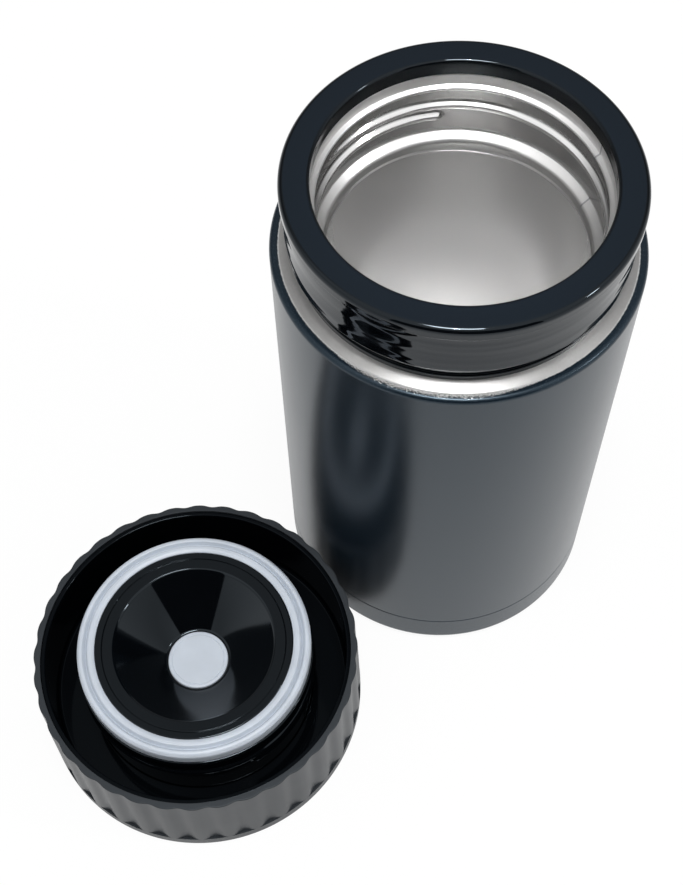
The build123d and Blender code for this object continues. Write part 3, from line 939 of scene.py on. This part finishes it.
class FOODJAR_OT_plug(bpy.types.Operator):
    """Threaded stopper plug and its dished bottom cover"""

    bl_idname = "foodjar.plug"
    bl_label = "Stopper Plug"

    def execute(self, context):
        settings = context.scene.food_jar
        flange, under = PLUG_RADIUS + FLANGE_WIDTH, CHANNEL_BACK - FLANGE_WALL
        shoulder, head = GASKET_SEAT - 1.0, LIP_RADIUS + 1.0
        section = refined(bent([
            (PLUG_BORE, CAP_PLATE + 1), (PLUG_BORE, CAP_PLATE), (PLUG_RADIUS, CAP_PLATE),
            (PLUG_RADIUS, under), (flange, under), (flange, CHANNEL_BACK),
            (PLUG_RADIUS, CHANNEL_BACK), (PLUG_RADIUS, shoulder, 0.3), (head, shoulder, 0.4),
            (head, GASKET_SEAT, 0.8), (PLUG_BORE, GASKET_SEAT), (PLUG_BORE, CAP_PLATE + 1 + SPLIT),
        ], steps=9), CHANNEL_FLOOR + 0.5, shoulder - 0.2, 0.2)
        wall = np.abs(section[:, 0] - PLUG_RADIUS) < GAP / 2

        def thread(angle, radius, height):
            """The thread stands out from the wall by its rise times the ridge's share."""
            rise = PLUG_THREAD_RISE * ridge(angle, height, **PLUG_THREAD)
            return radius + np.where(wall, rise, 0.0), height

        body = turned("plug", section, LID_AXIS, turns=400, shape=thread)
        gloss = gloss_black(settings, "plug_wall", 0.3)
        seat(body, gloss, "lid", "plug_body")
        gloss = gloss_black(settings, "plug_gloss", 0.42)
        dish = turned("bowl_cover", dish_section(), LID_AXIS)
        seat(dish, gloss, "lid", "plug_dish")
        return {"FINISHED"}


def dish_section():
    """Section of the plug's cover: flat ring, fine groove, bevel, bowl and the hub of the disc."""
    rim, face, low = GASKET_BORE - GAP, GASKET_FACE - 0.4, DISC_FACE - 0.35
    groove = rim - 1.7
    edge = groove - 3.2
    hub, stem, back = DISC_RADIUS + 0.25, 2.7, GASKET_SEAT - 1.5
    ring = bent([
        (rim + 2.7, back), (rim + 2.7, GASKET_SEAT), (rim, GASKET_SEAT), (rim, face, 0.25),
        (groove, face, 0.05), (groove - 0.15, face - 0.35, 0.05), (groove - 0.3, face - 0.1, 0.1),
        (edge + 0.35, face - 0.12, 0.4), (edge, face - 0.3)], steps=6)
    bowl = bow((edge, face - 0.3), (hub + 0.3, low), -BOWL_BULGE)
    under = bow((hub + 0.3, DISH_FLOOR - DISH_WALL), (edge + 2.2, face - 1.4), BOWL_BULGE)
    well = [(hub, low), (hub, DISH_FLOOR), (stem, DISH_FLOOR), (stem, DISH_FLOOR - DISH_WALL)]
    return np.concatenate([ring[:-1], bowl, well, under, [(edge + 2.2, back)]])


class FOODJAR_OT_silicone(bpy.types.Operator):
    """Gasket with the groove in its face, and the valve disc"""

    bl_idname = "foodjar.silicone"
    bl_label = "Gasket and Valve Disc"

    def execute(self, context):
        rubber = silicone("pale_silicone", context.scene.food_jar.silicone_colour)
        face, groove = GASKET_FACE, GASKET_RADIUS - 2.2
        section = bent([
            (GASKET_BORE, GASKET_SEAT + SPLIT), (GASKET_BORE, face - 0.35, 0.3),
            (GASKET_BORE + 0.8, face, 1.2), (groove - GROOVE_HALF_WIDTH, face, 0.35),
            (groove, face - GROOVE_DEPTH, 0.1), (groove + GROOVE_HALF_WIDTH, face, 0.35),
            (GASKET_RADIUS - 0.7, face, 1.4), (GASKET_RADIUS, face - 1.0, 1.2),
            (GASKET_RADIUS, GASKET_SEAT, 0.5), (GASKET_BORE, GASKET_SEAT),
        ], steps=9)
        gasket = turned("gasket", section, LID_AXIS)
        seat(gasket, rubber, "lid", "plug_gasket")
        r, face, low, socket = DISC_RADIUS, DISC_FACE, DISC_FACE - DISC_WALL, 2.4
        section = bent([
            (0, face), (r - 1.2, face, 0.06), (r - 1.05, face - 0.15, 0.06), (r - 0.9, face, 0.06),
            (r, face, 0.5), (r, low, 0.2), (socket, low), (socket, low + 1.2), (0, low + 1.2),
        ], steps=8)
        disc = turned("valve_pad", section, LID_AXIS, closed=False, turns=128)
        seat(disc, rubber, "valve", "valve_disc")
        return {"FINISHED"}


class FOODJAR_OT_spring(bpy.types.Operator):
    """Coil spring of the valve"""

    bl_idname = "foodjar.spring"
    bl_label = "Valve Spring"

    def execute(self, context):
        low, high = (float(corner[2]) for corner in node_box("valve_spring"))
        wire = SPRING_WIRE / 2
        coil = helix(reach_of("valve_spring") - wire, wire, low + wire, high - wire, SPRING_PITCH)
        spring = skin("coil_spring", (coil + (*LID_AXIS, 0)) * MM, False)
        metal = grained("spring_wire", (0.55, 0.55, 0.56), 0.25, 1.0, 2500.0, 2.0, 0.1, 0.00002)
        seat(spring, metal, "lid", "valve_spring")
        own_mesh(spring)
        return {"FINISHED"}


# name, colour, roughness, metallic, and the scale, detail, strength and depth of the grain
INNER_FINISHES = {
    "foil_wrap": ("copper_foil", (0.72, 0.38, 0.22), 0.3, 1.0, 300.0, 4.0, 0.4, 0.0001),
    "vacuum_seal": ("solder", (0.6, 0.6, 0.62), 0.3, 1.0, 700.0, 3.0, 0.3, 0.0001),
    "getter": ("getter_pellet", (0.1, 0.1, 0.105), 0.7, 0.6, 3000.0, 3.0, 0.5, 0.00005),
    "plug_foam": ("rigid_foam", (0.82, 0.74, 0.5), 0.8, 0.0, 1500.0, 3.0, 0.6, 0.0002),
}


class FOODJAR_OT_inner_parts(bpy.types.Operator):
    """Finishes of the parts inside the walls and the plug"""

    bl_idname = "foodjar.inner_parts"
    bl_label = "Inner Parts"

    def execute(self, context):
        settings = context.scene.food_jar
        for node, looks in INNER_FINISHES.items():
            dress(grained(*looks), node)
        plain = moulded("valve_plastic", settings.cap_colour, 0.35).material
        dress(plain, "valve_sleeve", "valve_stem", "valve_button")
        dress(silicone("seal_silicone", settings.silicone_colour), "collar_seal")
        return {"FINISHED"}


class FOODJAR_OT_stage(bpy.types.Operator):
    """Pale floor, room, dark card, lamps and camera"""

    bl_idname = "foodjar.stage"
    bl_label = "Studio"

    def execute(self, context):
        scene, stage = context.scene, context.scene.food_jar_stage
        scene.view_settings.view_transform = "Standard"
        floor_plane()
        room(scene, stage)
        flag()
        lamp("top_lamp", "AREA", (0.0, -0.2, 1.34), (0, 0, 0.1), stage.top, size=0.3)
        lamp("side_lamp", "AREA", (0.66, -0.19, 0.68), (0, 0, 0.1), stage.side, size=0.08)
        lamp("mouth_lamp", "SPOT", (0.0, -0.2, 1.2), (0, 0, 0.13), stage.mouth,
             spot_size=radians(2.1), spot_blend=0.6, shadow_soft_size=0.03)
        scene.camera = held_camera(stage)
        return {"FINISHED"}


def held_camera(stage):
    """Camera that looks down from level by its pitch p and is rolled about its view by q.

    Its x, y and z axes, the last of which points back, are (cos q, sin q sin p, sin q cos p),
    (-sin q, cos q sin p, cos q cos p) and (0, -cos p, sin p).
    """
    camera = bpy.data.cameras.new("camera")
    camera.lens = stage.focal
    camera.sensor_width = 36
    camera.clip_start = 0.01
    p, q = stage.pitch, stage.roll
    axes = Matrix(((cos(q), sin(q) * sin(p), sin(q) * cos(p)),
                   (-sin(q), cos(q) * sin(p), cos(q) * cos(p)),
                   (0, -cos(p), sin(p)))).transposed()
    holder = added("camera", camera)
    holder.matrix_world = Matrix.Translation(stage.place) @ axes.to_4x4()
    return holder


def card(name, corners, material):
    """Four-cornered piece of the stage."""
    mesh = bpy.data.meshes.new(name)
    mesh.from_pydata(corners, [], [(0, 1, 2, 3)])
    mesh.materials.append(material)
    piece = added(name, mesh)
    return piece


def floor_plane(half=3.0, seen=0.93, mirrored=0.6):
    """Wide pale floor that keeps a soft share of the shadows. The rest of it glows white: by one
    share where the camera sees it, and by a smaller one in a mirror or through a surface."""
    material = bpy.data.materials.new("floor")
    material.use_nodes = True
    nodes = Nodes(material.node_tree)
    nodes.tree.nodes.clear()
    path = nodes.node("ShaderNodeLightPath").outputs
    matte = nodes.node("ShaderNodeBsdfDiffuse")
    nodes.put(matte.inputs["Color"], (0.9, 0.9, 0.9))
    glow = nodes.node("ShaderNodeEmission")
    bounced = nodes.math("MAXIMUM", path["Is Glossy Ray"], path["Is Transmission Ray"])
    share = nodes.math("MAXIMUM", nodes.times(path["Is Camera Ray"], seen),
                       nodes.times(bounced, mirrored))
    mixed = nodes.node("ShaderNodeMixShader")
    for slot, value in zip(mixed.inputs, (share, matte.outputs[0], glow.outputs[0])):
        nodes.put(slot, value)
    nodes.put(nodes.node("ShaderNodeOutputMaterial").inputs["Surface"], mixed.outputs[0])
    card("floor", [(-half, -half, 0), (half, -half, 0), (half, half, 0), (-half, half, 0)],
         material)


def room(scene, stage):
    """Pale walls at the table's height, bright above in front and at the sides, and a dimmer
    ceiling behind. The camera sees them as white, and surfaces mirror them as they are."""
    world = bpy.data.worlds.new("studio")
    scene.world = world
    world.use_nodes = True
    nodes = Nodes(world.node_tree)
    background = nodes.tree.nodes["Background"].inputs
    nodes.put(background["Color"], (1, 1, 1))
    parts = nodes.node("ShaderNodeSeparateXYZ")
    nodes.put(parts.inputs[0], nodes.node("ShaderNodeTexCoord").outputs["Generated"])
    forth, up = parts.outputs[1:]

    def fade(way, start, end, first, last):
        """Smooth change along one direction of the view."""
        return nodes.spread(way, first, last, start, end, interpolation_type="SMOOTHSTEP")

    walls = fade(up, 0.1, 0.6, stage.horizon, stage.ceiling)
    behind = nodes.times(fade(forth, 0.2, 0.5, 0.0, 1.0),
                         fade(up, 0.3, 0.75, stage.ceiling - stage.horizon, 0.0))
    front = nodes.times(fade(forth, 0.05, 0.35, 1.0, 0.0),
                        fade(up, 0.4, 0.6, 0.0, stage.glow - stage.ceiling))
    light = nodes.math("ADD", nodes.math("ADD", walls, behind), front)
    seen = nodes.node("ShaderNodeLightPath").outputs["Is Camera Ray"]
    nodes.put(background["Strength"], nodes.math("MAXIMUM", light, seen))


def flag(half=0.7, front=-0.9, low=0.02, high=1.0):
    """Dark upright card in front, which the camera doesn't see, for contrast in glossy parts."""
    corners = [(-half, front, low), (half, front, low), (half, front, high), (-half, front, high)]
    card("flag", corners, Finish("flag", (0.005,) * 3, 1.0).material).visible_camera = False


def lamp(name, kind, place, target, power, **settings):
    """Lamp at a place, turned towards a point."""
    light = bpy.data.lights.new(name, kind)
    light.energy = power
    adjust(light, settings)
    holder = added(name, light)
    holder.location = place
    holder.rotation_mode = "QUATERNION"
    holder.rotation_quaternion = (Vector(target) - Vector(place)).to_track_quat("-Z", "Y")


OPERATORS = (
    FOODJAR_OT_shell, FOODJAR_OT_vessel, FOODJAR_OT_collar, FOODJAR_OT_cap, FOODJAR_OT_liner,
    FOODJAR_OT_plug, FOODJAR_OT_silicone, FOODJAR_OT_spring, FOODJAR_OT_inner_parts,
    FOODJAR_OT_stage,
)


class FOODJAR_PT_panel(bpy.types.Panel):
    """Lists the jar's pieces and its settings"""

    bl_label = "Food Jar"
    bl_idname = "FOODJAR_PT_panel"
    bl_space_type = "VIEW_3D"
    bl_region_type = "UI"
    bl_category = "Food Jar"

    def draw(self, context):
        layout = self.layout
        for group in (context.scene.food_jar, context.scene.food_jar_stage):
            for name in group.bl_rna.properties.keys():
                if name not in ("rna_type", "name"):
                    layout.prop(group, name)
        for operator in OPERATORS:
            layout.operator(operator.bl_idname)


CLASSES = (FoodJarSettings, FoodJarStage, *OPERATORS, FOODJAR_PT_panel)


def register():
    for cls in CLASSES:
        bpy.utils.register_class(cls)
    bpy.types.Scene.food_jar = bpy.props.PointerProperty(type=FoodJarSettings)
    bpy.types.Scene.food_jar_stage = bpy.props.PointerProperty(type=FoodJarStage)


def unregister():
    del bpy.types.Scene.food_jar_stage
    del bpy.types.Scene.food_jar
    for cls in reversed(CLASSES):
        bpy.utils.unregister_class(cls)


def main():
    register()
    for operator in OPERATORS:
        group, name = operator.bl_idname.split(".")
        getattr(getattr(bpy.ops, group), name)()


if __name__ == "__main__":
    main()
